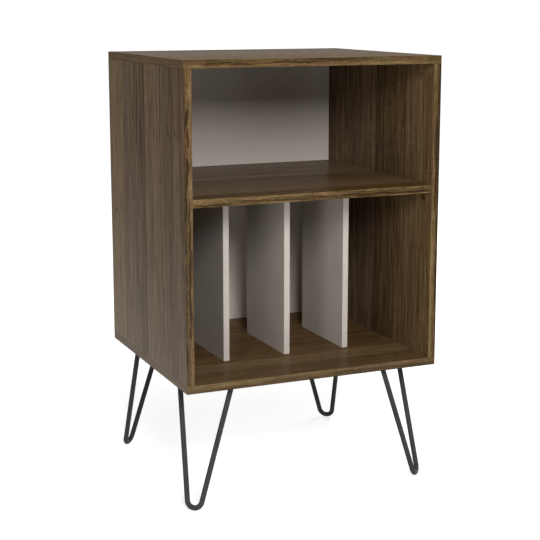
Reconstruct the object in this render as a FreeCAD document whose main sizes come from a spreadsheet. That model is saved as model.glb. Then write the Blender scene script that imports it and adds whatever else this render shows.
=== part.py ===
import FreeCAD, Part
import math
import os

import Sketcher
from FreeCAD import Placement, Rotation, Vector

# Record storage stand: an open case of wood-print board on four hairpin legs.
# Millimetres. X runs across the front, Y from the front to the back and Z up from the floor.
# The origin is on the floor, under the middle of the case.

SIZES = [
    # The case.
    ("case_width", 513, "outer width of the case"),
    ("case_depth", 450, "front edges of the boards to the rear face of the back panel"),
    ("leg_height", 233, "floor to the underside of the bottom board"),
    ("case_height", 597, "underside of the bottom board to the top face"),
    ("upper_bay", 228.5, "clear height over the shelf"),
    ("board", 15, "thickness of the case boards and of the shelf"),
    ("edging", 1, "thickness of an edge band"),
    ("edge_round", 0.6, "radius on the outer edges of an edge band"),
    ("back_panel", 3, "thickness of the back panel"),
    ("back_inset", 2, "back panel's edges in from the outside of the case"),
    # The dividers.
    ("divider", 12, "thickness of a divider"),
    ("divider_length", 190, "divider from its front edge to its rear edge"),
    ("divider_setback", 133, "front of the case to the front edge of a divider"),
    ("divider_pitch", 127, "middle of one divider to the middle of the next"),
    ("divider_fixing", 32, "divider's front or rear edge to its screw and dowel"),
    # Cam fittings.
    ("fixing_inset", 50, "front or back of the boards to the nearest cam fitting or screw"),
    ("cam_diameter", 15, "cam lock and its bore"),
    ("cam_reach", 24, "joint to the middle of the cam lock"),
    ("cam_skin", 3, "wood left under a cam lock"),
    ("cam_cover", 1.2, "thickness of a cam cover"),
    ("cam_slot", 7.4, "width of the slot where the bolt's head enters the cam lock"),
    ("bolt_thread", 5, "threaded end of a cam bolt"),
    ("bolt_pin", 5.6, "plain part of a cam bolt"),
    ("bolt_neck", 3.6, "neck under the head of a cam bolt"),
    ("bolt_head", 6.8, "head of a cam bolt"),
    ("bolt_bore", 8, "bore in a board's edge for a cam bolt"),
    ("fixing_skin", 4, "wood left past a blind hole in a board's face"),
    # Dowels.
    ("dowel", 8, "diameter of a case dowel"),
    ("dowel_offset", 32, "cam fitting or screw to the dowel beside it"),
    ("dowel_bite", 20, "depth of a dowel hole in a board's edge"),
    ("divider_dowel", 6, "diameter of a divider's dowel"),
    ("dowel_end_gap", 0.5, "room past each end of a dowel"),
    # Screws and nails.
    ("case_screw_core", 5, "threaded end of a case screw"),
    ("case_screw_neck", 7, "plain neck of a case screw"),
    ("case_screw_head", 10, "head of a case screw"),
    ("case_screw_bite", 35, "case screw's reach into a side panel"),
    ("divider_screw", 4, "shank of a divider's screw"),
    ("divider_screw_head", 8, "head of a divider's screw"),
    ("divider_screw_bite", 28, "screw's reach into a divider"),
    ("nail_shank", 1.6, "shank of a back panel nail"),
    ("nail_head", 5, "head of a back panel nail"),
    ("nail_head_height", 0.8, "thickness of a nail's head"),
    ("nail_bite", 17, "nail's reach into a board's edge"),
    ("nail_inset", 30, "end of a board to the nearest nail"),
    # Hairpin legs.
    ("rod", 10, "diameter of the leg rod"),
    ("rod_spread", 106, "between the rod's two ends at the plate, centre to centre"),
    ("rod_bend", 15, "radius of the hairpin bend, to the rod's centre line"),
    ("leg_lean", 57, "how far the foot leans out from the middle of the plate"),
    ("leg_from_side", 61.5, "side of the case to the middle of a leg plate"),
    ("leg_from_front", 69, "front of the case to the middle of a front leg plate"),
    ("leg_from_back", 55, "back of the case to the middle of a rear leg plate"),
    ("weld", 2.5, "width of the weld around each rod end"),
    ("plate", 2.5, "thickness of a leg plate"),
    ("plate_end", 9, "rod's centre to the end of the plate"),
    ("plate_width", 30, "width of a leg plate"),
    ("plate_corner", 10, "corner radius of a leg plate"),
    ("plate_hole", 4.5, "screw hole in a leg plate"),
    ("plate_hole_along", 50, "between screw holes along a leg plate"),
    ("plate_hole_across", 16, "between screw holes across a leg plate"),
    ("leg_screw", 4, "shank of a leg screw"),
    ("leg_screw_head", 7.5, "head of a leg screw"),
    ("leg_screw_head_height", 2.2, "thickness of a leg screw's head"),
]

doc = FreeCAD.newDocument("record_storage_stand")
sheet = doc.addObject("Spreadsheet::Sheet", "Sizes")
for row, (alias, size, meaning) in enumerate(SIZES, 1):
    sheet.set(f"A{row}", str(size))
    sheet.setAlias(f"A{row}", alias)
    sheet.set(f"B{row}", meaning)
doc.recompute()

# Places and lengths that follow from the sizes, as expressions of the sheet.
CASE_TOP = "(Sizes.leg_height + Sizes.case_height)"
BAY_FLOOR = "(Sizes.leg_height + Sizes.board)"
LOWER_BAY = "(Sizes.case_height - Sizes.upper_bay - 3 * Sizes.board)"
SHELF_UNDERSIDE = f"({BAY_FLOOR} + {LOWER_BAY})"
TOP_UNDERSIDE = f"({CASE_TOP} - Sizes.board)"
SIDE_HEIGHT = "(Sizes.case_height - 2 * Sizes.board)"
SHELF_ON_SIDE = f"({LOWER_BAY} + Sizes.board / 2)"
HALF = "(Sizes.case_width / 2)"
SIDE_MIDDLE = f"({HALF} - Sizes.board / 2)"
INNER_HALF = f"({HALF} - Sizes.board)"
MID_BOARD = "(Sizes.board / 2)"
FRONT = "(-Sizes.case_depth / 2)"
CORE_FRONT = f"({FRONT} + Sizes.edging)"
CORE_BACK = "(Sizes.case_depth / 2 - Sizes.back_panel)"
CORE_DEPTH = f"({CORE_BACK} - {CORE_FRONT})"
CORE_MIDDLE = f"(({CORE_BACK} + {CORE_FRONT}) / 2)"
FIXINGS = [f"({FRONT} + Sizes.fixing_inset)", f"({CORE_BACK} - Sizes.fixing_inset)"]
DOWELS = [f"({FIXINGS[0]} + Sizes.dowel_offset)", f"({FIXINGS[1]} - Sizes.dowel_offset)"]
CASE_SCREWS = [FIXINGS[0], f"(({FIXINGS[0]} + {FIXINGS[1]}) / 2)", FIXINGS[1]]
CAM_BORE = "(Sizes.board - Sizes.cam_skin)"
BLIND = "(Sizes.board - Sizes.fixing_skin)"
DIVIDER_FRONT = f"({FRONT} + Sizes.divider_setback)"
DIVIDERS = {
    "left_divider": "(-Sizes.divider_pitch)",
    "middle_divider": "0",
    "right_divider": "Sizes.divider_pitch",
}
DIVIDER_FIXINGS = ["Sizes.divider_fixing", "(Sizes.divider_length - Sizes.divider_fixing)"]
NAILS_ACROSS = [f"({k} / 3 * ({INNER_HALF} - Sizes.nail_inset))" for k in (-3, -1, 1, 3)]
NAILS_UP = [
    f"(Sizes.board + Sizes.nail_inset + {k} / 5 * ({SIDE_HEIGHT} - 2 * Sizes.nail_inset))"
    for k in range(6)
]
PLATE_UNDERSIDE = "(Sizes.leg_height - Sizes.plate)"
LEG_DROP = f"({PLATE_UNDERSIDE} - Sizes.rod / 2)"
LEG_SLANT = f"sqrt({LEG_DROP} ^ 2 + Sizes.leg_lean ^ 2)"
# Each leg's corner: its side, its end of the case, and its turn about the vertical.
CORNERS = {
    "front_left": (-1, -1, -45),
    "front_right": (1, -1, 45),
    "back_right": (1, 1, 135),
    "back_left": (-1, 1, -135),
}

UPRIGHT = Rotation()
X_AXIS, Y_AXIS, Z_AXIS = Vector(1, 0, 0), Vector(0, 1, 0), Vector(0, 0, 1)
HALF_TURN = Rotation(Z_AXIS, 180)
UPSIDE_DOWN = Rotation(X_AXIS, 180)
TOWARDS_RIGHT = Rotation(Y_AXIS, 90)
TOWARDS_BACK = Rotation(X_AXIS, -90)

parts = []


def value(expression):
    """The number that an expression of the sheet gives."""
    return float(sheet.evalExpression(expression))


def keep(part, name):
    """Names a finished sub-part and puts it on the list of what is written."""
    part.Label = name
    parts.append(part)
    return part


def place(part, x="0", y="0", z="0", turn=UPRIGHT):
    """Turns a part, then binds its place to the sheet."""
    part.Placement = Placement(Vector(), turn)
    for axis, expression in zip("xyz", (x, y, z)):
        part.setExpression(f"Placement.Base.{axis}", expression)
    return part


# Sketches.


def origin_plane(body, role):
    return next(item for item in body.Origin.OriginFeatures if item.Role == role)


def new_sketch(body, name, plane_role, level="0"):
    """A sketch on one of the body's origin planes, moved along the plane's normal."""
    sketch = body.newObject("Sketcher::SketchObject", name)
    sketch.AttachmentSupport = [(origin_plane(body, plane_role), "")]
    sketch.MapMode = "FlatFace"
    sketch.setExpression("AttachmentOffset.Base.z", level)
    return sketch


def bind(sketch, constraint, expression):
    number = sketch.addConstraint(constraint)
    sketch.setExpression(f"Constraints[{number}]", expression)


def hold(sketch, line, point, x, y):
    """Holds a point of the sketch at two distances from its origin."""
    bind(sketch, Sketcher.Constraint("DistanceX", -1, 1, line, point, value(x)), x)
    bind(sketch, Sketcher.Constraint("DistanceY", -1, 1, line, point, value(y)), y)


def rectangle(sketch, x0, y0, x1, y1):
    low = Vector(value(x0), value(y0), 0)
    high = Vector(value(x1), value(y1), 0)
    corners = [low, Vector(high.x, low.y, 0), high, Vector(low.x, high.y, 0)]
    first = sketch.GeometryCount
    for side in range(4):
        sketch.addGeometry(Part.LineSegment(corners[side], corners[(side + 1) % 4]), False)
    for side in range(4):
        ends = (first + side, 2, first + (side + 1) % 4, 1)
        sketch.addConstraint(Sketcher.Constraint("Coincident", *ends))
        direction = "Horizontal" if side % 2 == 0 else "Vertical"
        sketch.addConstraint(Sketcher.Constraint(direction, first + side))
    hold(sketch, first, 1, x0, y0)
    hold(sketch, first + 2, 1, x1, y1)


def circle(sketch, x, y, diameter):
    ring = Part.Circle(Vector(value(x), value(y), 0), Z_AXIS, value(diameter) / 2)
    index = sketch.addGeometry(ring, False)
    hold(sketch, index, 3, x, y)
    bind(sketch, Sketcher.Constraint("Diameter", index, value(diameter)), diameter)


def outline(sketch, points):
    """A closed outline of straight lines through the points, each held by its coordinates."""
    corners = [Vector(value(x), value(y), 0) for x, y in points]
    count = len(points)
    for side in range(count):
        sketch.addGeometry(Part.LineSegment(corners[side], corners[(side + 1) % count]), False)
    for side in range(count):
        ends = (side, 2, (side + 1) % count, 1)
        sketch.addConstraint(Sketcher.Constraint("Coincident", *ends))
        hold(sketch, side, 1, *points[side])


# Solids.


def new_body(name):
    return doc.addObject("PartDesign::Body", name)


def pad(body, name, sketch, length, along_normal=True):
    solid = body.newObject("PartDesign::Pad", name)
    solid.Profile = sketch
    solid.setExpression("Length", length)
    solid.Reversed = not along_normal
    doc.recompute()
    return solid


def pocket(body, name, sketch, depth, along_normal, taper=0):
    """Sinks a sketch into the body, and makes sure that it took something away."""
    before = body.Shape.Volume
    cut = body.newObject("PartDesign::Pocket", name)
    cut.Profile = sketch
    cut.setExpression("Length", depth)
    cut.Reversed = along_normal
    cut.TaperAngle = taper
    doc.recompute()
    if not body.Shape.Volume < before:
        raise RuntimeError(f"{name} cuts nothing out of {body.Name}")
    return cut


def drill(body, name, plane_role, level, holes, diameter, depth, along_normal):
    """Round holes of one size, all from one plane."""
    sketch = new_sketch(body, f"{name}_sketch", plane_role, level)
    for x, y in holes:
        circle(sketch, x, y, diameter)
    return pocket(body, name, sketch, depth, along_normal)


def countersink(body, name, holes, head, neck):
    """Cones for flat screw heads in the face at the foot of the body."""
    sketch = new_sketch(body, f"{name}_sketch", "XY_Plane")
    for x, y in holes:
        circle(sketch, x, y, head)
    return pocket(body, name, sketch, f"(({head} - {neck}) / 2)", True, taper=-45)


def turned(name, points):
    """A body of revolution about Z: each point is a radius and a height."""
    body = new_body(name)
    sketch = new_sketch(body, f"{name}_profile", "XZ_Plane")
    outline(sketch, points)
    solid = body.newObject("PartDesign::Revolution", f"{name}_turned")
    solid.Profile = sketch
    solid.ReferenceAxis = (sketch, ["V_Axis"])
    solid.Angle = 360
    doc.recompute()
    return body


def group(name, template, places):
    """One sub-part of several copies: each place is x, y, z and a turn."""
    copies = []
    for number, (x, y, z, turn) in enumerate(places, 1):
        copy = doc.addObject("App::Link", f"{name}_{number}")
        copy.LinkedObject = template
        copies.append(place(copy, x, y, z, turn))
    made = doc.addObject("Part::Compound", name)
    made.Links = copies
    return keep(made, name)


def both_sides(x, lines, z, turn):
    """Places at x on the left, in the given turn, and mirrored to the right by a half turn."""
    left = [(f"-{x}", y, z, turn) for y in lines]
    right = [(x, y, z, HALF_TURN * turn) for y in lines]
    return left + right


# Boards.


def flat_board(name, half_width, z):
    """A level board, drawn from above; its underside is the body's own Z zero."""
    body = new_body(name)
    sketch = new_sketch(body, f"{name}_outline", "XY_Plane")
    rectangle(sketch, f"-{half_width}", CORE_FRONT, half_width, CORE_BACK)
    pad(body, f"{name}_core", sketch, "Sizes.board")
    nails = [(x, MID_BOARD) for x in NAILS_ACROSS]
    drill_for_nails(body, nails)
    return keep(place(body, z=z), name)


def drill_for_nails(body, holes):
    """Nail holes in a board's rear edge."""
    level = f"-{CORE_BACK}"
    name = f"{body.Name}_nail_holes"
    drill(body, name, "XZ_Plane", level, holes, "Sizes.nail_shank", "Sizes.nail_bite", True)


def at_sides(x, lines):
    """The same points along both sides of a level board."""
    return [(f"{sign}{x}", y) for sign in ("-", "") for y in lines]


def divider_points():
    """Screw and dowel places of all the dividers, seen from above."""
    lines = [f"({DIVIDER_FRONT} + {y})" for y in DIVIDER_FIXINGS]
    return [(x, y) for x in DIVIDERS.values() for y in lines]


def leg_middle(corner):
    """The middle of a leg plate, seen from above."""
    side, end, _ = CORNERS[corner]
    x = f"({side} * ({HALF} - Sizes.leg_from_side))"
    if end < 0:
        return x, f"({FRONT} + Sizes.leg_from_front)"
    return x, "(Sizes.case_depth / 2 - Sizes.leg_from_back)"


def leg_screw_points(corner):
    """The four screws of a leg plate, seen from above, turned with the plate."""
    x, y = leg_middle(corner)
    turn = CORNERS[corner][2]
    points = []
    for along, across in ((-1, -1), (1, -1), (1, 1), (-1, 1)):
        u = f"({along} * Sizes.plate_hole_along / 2)"
        v = f"({across} * Sizes.plate_hole_across / 2)"
        point_x = f"({x} + {u} * cos({turn}) - {v} * sin({turn}))"
        point_y = f"({y} + {u} * sin({turn}) + {v} * cos({turn}))"
        points.append((point_x, point_y))
    return points


def top_board():
    body = flat_board("top_board", f"({HALF} - Sizes.edging)", TOP_UNDERSIDE)
    bolts, dowels = at_sides(SIDE_MIDDLE, FIXINGS), at_sides(SIDE_MIDDLE, DOWELS)
    drill(body, "top_bolt_holes", "XY_Plane", "0", bolts, "Sizes.bolt_thread", BLIND, True)
    drill(body, "top_dowel_holes", "XY_Plane", "0", dowels, "Sizes.dowel", BLIND, True)


def bottom_board():
    body = flat_board("bottom_board", f"({HALF} - Sizes.edging)", "Sizes.leg_height")
    through = "Sizes.board"
    screws, dowels = at_sides(SIDE_MIDDLE, CASE_SCREWS), at_sides(SIDE_MIDDLE, DOWELS)
    neck, head = "Sizes.case_screw_neck", "Sizes.case_screw_head"
    drill(body, "case_screw_holes", "XY_Plane", "0", screws, neck, through, True)
    countersink(body, "case_screw_sinks", screws, head, neck)
    drill(body, "bottom_dowel_holes", "XY_Plane", through, dowels, "Sizes.dowel", BLIND, False)
    shank, head = "Sizes.divider_screw", "Sizes.divider_screw_head"
    drill(body, "divider_screw_holes", "XY_Plane", "0", divider_points(), shank, through, True)
    countersink(body, "divider_screw_sinks", divider_points(), head, shank)
    legs = [point for corner in CORNERS for point in leg_screw_points(corner)]
    drill(body, "leg_screw_holes", "XY_Plane", "0", legs, "Sizes.leg_screw", BLIND, True)


def middle_shelf():
    body = flat_board("middle_shelf", INNER_HALF, SHELF_UNDERSIDE)
    bolts, dowels = [(y, MID_BOARD) for y in FIXINGS], [(y, MID_BOARD) for y in DOWELS]
    reach, bite = "Sizes.cam_reach", "Sizes.dowel_bite"
    for end, level, inward in (("left", f"-{INNER_HALF}", True), ("right", INNER_HALF, False)):
        name = f"shelf_{end}"
        drill(body, f"{name}_bores", "YZ_Plane", level, bolts, "Sizes.bolt_bore", reach, inward)
        drill(body, f"{name}_dowel_holes", "YZ_Plane", level, dowels, "Sizes.dowel", bite, inward)
    cams = at_sides(f"({INNER_HALF} - Sizes.cam_reach)", FIXINGS)
    drill(body, "shelf_cam_bores", "XY_Plane", "0", cams, "Sizes.cam_diameter", CAM_BORE, True)
    points = divider_points()
    drill(body, "divider_holes", "XY_Plane", "0", points, "Sizes.divider_dowel", BLIND, True)


def side_panels():
    """The left panel is drawn from its outer face inwards, and the right one mirrors it."""
    body = new_body("left_side_panel")
    sketch = new_sketch(body, "side_outline", "YZ_Plane")
    rectangle(sketch, CORE_FRONT, "0", CORE_BACK, SIDE_HEIGHT)
    pad(body, "side_core", sketch, "Sizes.board")
    bolts, dowels = [(MID_BOARD, y) for y in FIXINGS], [(MID_BOARD, y) for y in DOWELS]
    screws = [(MID_BOARD, y) for y in CASE_SCREWS]
    reach, bite = "Sizes.cam_reach", "Sizes.dowel_bite"
    core, screw_bite = "Sizes.case_screw_core", "Sizes.case_screw_bite"
    top = SIDE_HEIGHT
    drill(body, "side_top_bores", "XY_Plane", top, bolts, "Sizes.bolt_bore", reach, False)
    drill(body, "side_top_dowel_holes", "XY_Plane", top, dowels, "Sizes.dowel", bite, False)
    drill(body, "side_foot_dowel_holes", "XY_Plane", "0", dowels, "Sizes.dowel", bite, True)
    drill(body, "side_screw_holes", "XY_Plane", "0", screws, core, screw_bite, True)
    face = "Sizes.board"
    cams = [(y, f"({SIDE_HEIGHT} - {reach})") for y in FIXINGS]
    drill(body, "side_cam_bores", "YZ_Plane", face, cams, "Sizes.cam_diameter", CAM_BORE, False)
    shelf_bolts = [(y, SHELF_ON_SIDE) for y in FIXINGS]
    shelf_dowels = [(y, SHELF_ON_SIDE) for y in DOWELS]
    thread, dowel = "Sizes.bolt_thread", "Sizes.dowel"
    drill(body, "side_shelf_bolt_holes", "YZ_Plane", face, shelf_bolts, thread, BLIND, False)
    drill(body, "side_shelf_dowel_holes", "YZ_Plane", face, shelf_dowels, dowel, BLIND, False)
    drill_for_nails(body, [(MID_BOARD, f"({z} - Sizes.board)") for z in NAILS_UP])
    keep(place(body, x=f"-{HALF}", z=BAY_FLOOR), "left_side_panel")
    right = doc.addObject("Part::Mirroring", "right_side_panel")
    right.Source = body
    right.Normal = X_AXIS
    keep(right, "right_side_panel")


def divider_board(name, x):
    """An upright board between the bottom board and the shelf, without its edge bands."""
    body = new_body(name)
    sketch = new_sketch(body, f"{name}_outline", "YZ_Plane")
    rear = "(Sizes.divider_length - Sizes.edging)"
    rectangle(sketch, "Sizes.edging", "0", rear, LOWER_BAY)
    pad(body, f"{name}_core", sketch, "Sizes.divider")
    holes = [("Sizes.divider / 2", y) for y in DIVIDER_FIXINGS]
    screw, screw_bite = "Sizes.divider_screw", "Sizes.divider_screw_bite"
    dowel, bite = "Sizes.divider_dowel", "Sizes.dowel_bite"
    drill(body, f"{name}_screws", "XY_Plane", "0", holes, screw, screw_bite, True)
    drill(body, f"{name}_dowels", "XY_Plane", LOWER_BAY, holes, dowel, bite, False)
    keep(place(body, f"({x} - Sizes.divider / 2)", DIVIDER_FRONT, BAY_FLOOR), name)


def nail_points():
    """All the nails, as x and the height over the underside of the case."""
    sides = [(f"{sign}{SIDE_MIDDLE}", z) for sign in ("-", "") for z in NAILS_UP]
    shelf = f"(Sizes.board + {SHELF_ON_SIDE})"
    levels = (MID_BOARD, shelf, f"(Sizes.case_height - {MID_BOARD})")
    return sides + [(x, z) for z in levels for x in NAILS_ACROSS]


def back_panel():
    body = new_body("back_panel")
    sketch = new_sketch(body, "back_outline", "XZ_Plane")
    half = f"({HALF} - Sizes.back_inset)"
    top = "(Sizes.case_height - Sizes.back_inset)"
    rectangle(sketch, f"-{half}", "Sizes.back_inset", half, top)
    pad(body, "back_sheet", sketch, "Sizes.back_panel", along_normal=False)
    rear, through = "-Sizes.back_panel", "Sizes.back_panel"
    points = nail_points()
    shank, head = "Sizes.nail_shank", "Sizes.nail_head"
    drill(body, "back_nail_holes", "XZ_Plane", rear, points, shank, through, True)
    drill(body, "back_nail_sinks", "XZ_Plane", rear, points, head, "Sizes.nail_head_height", True)
    keep(place(body, y=CORE_BACK, z="Sizes.leg_height"), "back_panel")


# Edge bands.


def edge_band(name, length, height, x, y, z, turn=UPRIGHT):
    """A thin strip whose outer face looks along the body's own -Y, with its edges eased."""
    body = new_body(name)
    sketch = new_sketch(body, f"{name}_face", "XZ_Plane")
    rectangle(sketch, f"(-{length} / 2)", "0", f"({length} / 2)", height)
    strip = pad(body, f"{name}_strip", sketch, "Sizes.edging", along_normal=False)
    outer = [
        f"Edge{number}"
        for number, edge in enumerate(strip.Shape.Edges, 1)
        if all(abs(end.Y) < 1e-6 for end in edge.Vertexes)
    ]
    ease = body.newObject("PartDesign::Fillet", f"{name}_eased")
    ease.Base = (strip, outer)
    ease.setExpression("Radius", "min(Sizes.edge_round; 0.9 * Sizes.edging)")
    doc.recompute()
    return place(body, x, y, z, turn)


def case_edge_bands():
    board = "Sizes.board"
    inner = f"(2 * {INNER_HALF})"
    flats = {
        "top_front_edge_band": ("Sizes.case_width", TOP_UNDERSIDE),
        "bottom_front_edge_band": ("Sizes.case_width", "Sizes.leg_height"),
        "shelf_front_edge_band": (inner, SHELF_UNDERSIDE),
    }
    for name, (length, z) in flats.items():
        keep(edge_band(name, length, board, "0", FRONT, z), name)
    for side, sign, turn in (("left", "-", -90), ("right", "", 90)):
        turned_out = Rotation(Z_AXIS, turn)
        for level, z in (("top", TOP_UNDERSIDE), ("bottom", "Sizes.leg_height")):
            name = f"{level}_{side}_edge_band"
            x = f"{sign}{HALF}"
            keep(edge_band(name, CORE_DEPTH, board, x, CORE_MIDDLE, z, turned_out), name)
        name = f"{side}_side_front_edge_band"
        x = f"{sign}{SIDE_MIDDLE}"
        keep(edge_band(name, board, SIDE_HEIGHT, x, FRONT, BAY_FLOOR), name)


def divider_edge_bands(name, x):
    """A front and a rear band on one divider."""
    strip = edge_band(f"{name}_band", "Sizes.divider", LOWER_BAY, "0", "0", "0")
    rear = f"({DIVIDER_FRONT} + Sizes.divider_length)"
    ends = [(x, DIVIDER_FRONT, BAY_FLOOR, UPRIGHT), (x, rear, BAY_FLOOR, HALF_TURN)]
    group(f"{name}_edge_bands", strip, ends)


# Fittings.


def cross_recess(body, level, head, sunk, along_normal):
    """A screwdriver cross, half as wide as the head, sunk into it."""
    span, slot = f"(0.5 * {head})", f"(0.12 * {head})"
    for number, (x, y) in enumerate(((span, slot), (slot, span)), 1):
        sketch = new_sketch(body, f"{body.Name}_slot_{number}", "XY_Plane", level)
        rectangle(sketch, f"(-{x} / 2)", f"(-{y} / 2)", f"({x} / 2)", f"({y} / 2)")
        pocket(body, f"{body.Name}_recess_{number}", sketch, sunk, along_normal)


def cam_bolt():
    """Screwed into a board's face below Z zero; its head stands up into the cam lock."""
    thread, pin = "(Sizes.bolt_thread / 2)", "(Sizes.bolt_pin / 2)"
    neck, head = "(Sizes.bolt_neck / 2)", "(Sizes.bolt_head / 2)"
    half_head = neck
    under_head = f"(Sizes.cam_reach - {half_head})"
    shoulder = "(Sizes.cam_reach - Sizes.cam_diameter / 2)"
    profile = [
        ("0", f"-{BLIND}"),
        (thread, f"-{BLIND}"),
        (thread, "0"),
        (pin, "0"),
        (pin, shoulder),
        (neck, shoulder),
        (neck, under_head),
        (head, under_head),
        (head, f"(Sizes.cam_reach + {half_head})"),
        ("0", f"(Sizes.cam_reach + {half_head})"),
    ]
    return turned("cam_bolt", profile)


def cam_lock():
    """A round cam with a slot on its -X side for the bolt's head and a cross in its face."""
    body = new_body("cam_lock")
    sketch = new_sketch(body, "cam_round", "XY_Plane")
    circle(sketch, "0", "0", "Sizes.cam_diameter")
    height = f"({CAM_BORE} - Sizes.cam_cover)"
    pad(body, "cam_drum", sketch, height)
    axis_height = f"({MID_BOARD} - Sizes.cam_skin)"
    past_centre = "(Sizes.cam_diameter / 2 + Sizes.bolt_neck)"
    rim = "(-Sizes.cam_diameter / 2)"
    slot = [("0", axis_height)]
    drill(body, "cam_slot", "YZ_Plane", rim, slot, "Sizes.cam_slot", past_centre, True)
    cross_recess(body, height, "Sizes.cam_diameter", "Sizes.cam_cover", False)
    return body


def cam_cover():
    """A thin disc that closes the cam bore, flush with the board's face."""
    rim, top = "(Sizes.cam_diameter / 2)", "Sizes.cam_cover"
    return turned("cam_cover", [("0", "0"), (rim, "0"), (rim, top), ("0", top)])


def wooden_dowel(name, diameter):
    """A pin with eased ends: below Z zero in a board's face, above it in a board's edge."""
    low = f"(Sizes.dowel_end_gap - {BLIND})"
    high = "(Sizes.dowel_bite - Sizes.dowel_end_gap)"
    rim, end, ease = f"({diameter} / 2)", f"(0.4 * {diameter})", f"(0.1 * {diameter})"
    profile = [
        ("0", low),
        (end, low),
        (rim, f"({low} + {ease})"),
        (rim, f"({high} - {ease})"),
        (end, high),
        ("0", high),
    ]
    return turned(name, profile)


def flat_head_screw(name, head, neck, core, bite):
    """A countersunk screw that points up through a board, with its flat head at Z zero."""
    tip = f"(Sizes.board + {bite})"
    profile = [
        ("0", "0"),
        (f"({head} / 2)", "0"),
        (f"({neck} / 2)", f"(({head} - {neck}) / 2)"),
    ]
    if core != neck:
        profile += [(f"({neck} / 2)", "Sizes.board"), (f"({core} / 2)", "Sizes.board")]
    profile += [(f"({core} / 2)", f"({tip} - {core})"), ("0", tip)]
    body = turned(name, profile)
    cross_recess(body, "0", head, f"(0.15 * {head})", True)
    return body


def leg_screw():
    """A round-headed screw that points up, its head's bearing face at Z zero."""
    head, shank = "(Sizes.leg_screw_head / 2)", "(Sizes.leg_screw / 2)"
    height = "Sizes.leg_screw_head_height"
    tip = f"(Sizes.plate + {BLIND})"
    profile = [
        ("0", f"-{height}"),
        (f"(0.55 * {head})", f"-{height}"),
        (f"(0.88 * {head})", f"(-0.62 * {height})"),
        (head, "0"),
        (shank, "0"),
        (shank, f"({tip} - Sizes.leg_screw)"),
        ("0", tip),
    ]
    body = turned("leg_screw", profile)
    cross_recess(body, f"-{height}", "Sizes.leg_screw_head", f"(0.55 * {height})", True)
    return body


def back_nail():
    """A nail that points along its own -Z, with its head's outer face at Z zero."""
    head, shank = "(Sizes.nail_head / 2)", "(Sizes.nail_shank / 2)"
    neck = "-Sizes.nail_head_height"
    tip = "(-Sizes.back_panel - Sizes.nail_bite)"
    profile = [
        ("0", "0"),
        (head, "0"),
        (head, neck),
        (shank, neck),
        (shank, f"({tip} + 2 * Sizes.nail_shank)"),
        ("0", tip),
    ]
    return turned("back_nail", profile)


def case_fittings():
    bolt, lock, cover = cam_bolt(), cam_lock(), cam_cover()
    dowel = wooden_dowel("case_dowel", "Sizes.dowel")
    bolts = both_sides(SIDE_MIDDLE, FIXINGS, TOP_UNDERSIDE, UPSIDE_DOWN)
    group("top_cam_bolts", bolt, bolts)
    cam_z = f"({TOP_UNDERSIDE} - Sizes.cam_reach)"
    seat_x, cover_x = f"({HALF} - Sizes.cam_skin)", f"({INNER_HALF} + Sizes.cam_cover)"
    group("top_cam_locks", lock, both_sides(seat_x, FIXINGS, cam_z, TOWARDS_RIGHT))
    group("top_cam_covers", cover, both_sides(cover_x, FIXINGS, cam_z, TOWARDS_RIGHT))
    dowels = both_sides(SIDE_MIDDLE, DOWELS, TOP_UNDERSIDE, UPSIDE_DOWN)
    group("top_dowels", dowel, dowels)
    shelf_z = f"({SHELF_UNDERSIDE} + {MID_BOARD})"
    group("shelf_cam_bolts", bolt, both_sides(INNER_HALF, FIXINGS, shelf_z, TOWARDS_RIGHT))
    group("shelf_dowels", dowel, both_sides(INNER_HALF, DOWELS, shelf_z, TOWARDS_RIGHT))
    cam_x = f"({INNER_HALF} - Sizes.cam_reach)"
    seat_z = f"({SHELF_UNDERSIDE} + {CAM_BORE})"
    cover_z = f"({SHELF_UNDERSIDE} + Sizes.cam_cover)"
    group("shelf_cam_locks", lock, both_sides(cam_x, FIXINGS, seat_z, UPSIDE_DOWN))
    group("shelf_cam_covers", cover, both_sides(cam_x, FIXINGS, cover_z, UPSIDE_DOWN))
    group("bottom_dowels", dowel, both_sides(SIDE_MIDDLE, DOWELS, BAY_FLOOR, UPRIGHT))
    head, neck = "Sizes.case_screw_head", "Sizes.case_screw_neck"
    core, bite = "Sizes.case_screw_core", "Sizes.case_screw_bite"
    screw = flat_head_screw("case_screw", head, neck, core, bite)
    screws = both_sides(SIDE_MIDDLE, CASE_SCREWS, "Sizes.leg_height", UPRIGHT)
    group("bottom_board_screws", screw, screws)


def divider_fittings():
    head, shank = "Sizes.divider_screw_head", "Sizes.divider_screw"
    screw = flat_head_screw("divider_screw", head, shank, shank, "Sizes.divider_screw_bite")
    dowel = wooden_dowel("divider_dowel", "Sizes.divider_dowel")
    points = divider_points()
    screws = [(x, y, "Sizes.leg_height", UPRIGHT) for x, y in points]
    dowels = [(x, y, SHELF_UNDERSIDE, UPSIDE_DOWN) for x, y in points]
    group("divider_screws", screw, screws)
    group("divider_dowels", dowel, dowels)


def back_nails():
    rear = "(Sizes.case_depth / 2)"
    places = [(x, rear, f"(Sizes.leg_height + {z})", TOWARDS_BACK) for x, z in nail_points()]
    group("back_panel_nails", back_nail(), places)


# Legs.


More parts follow.
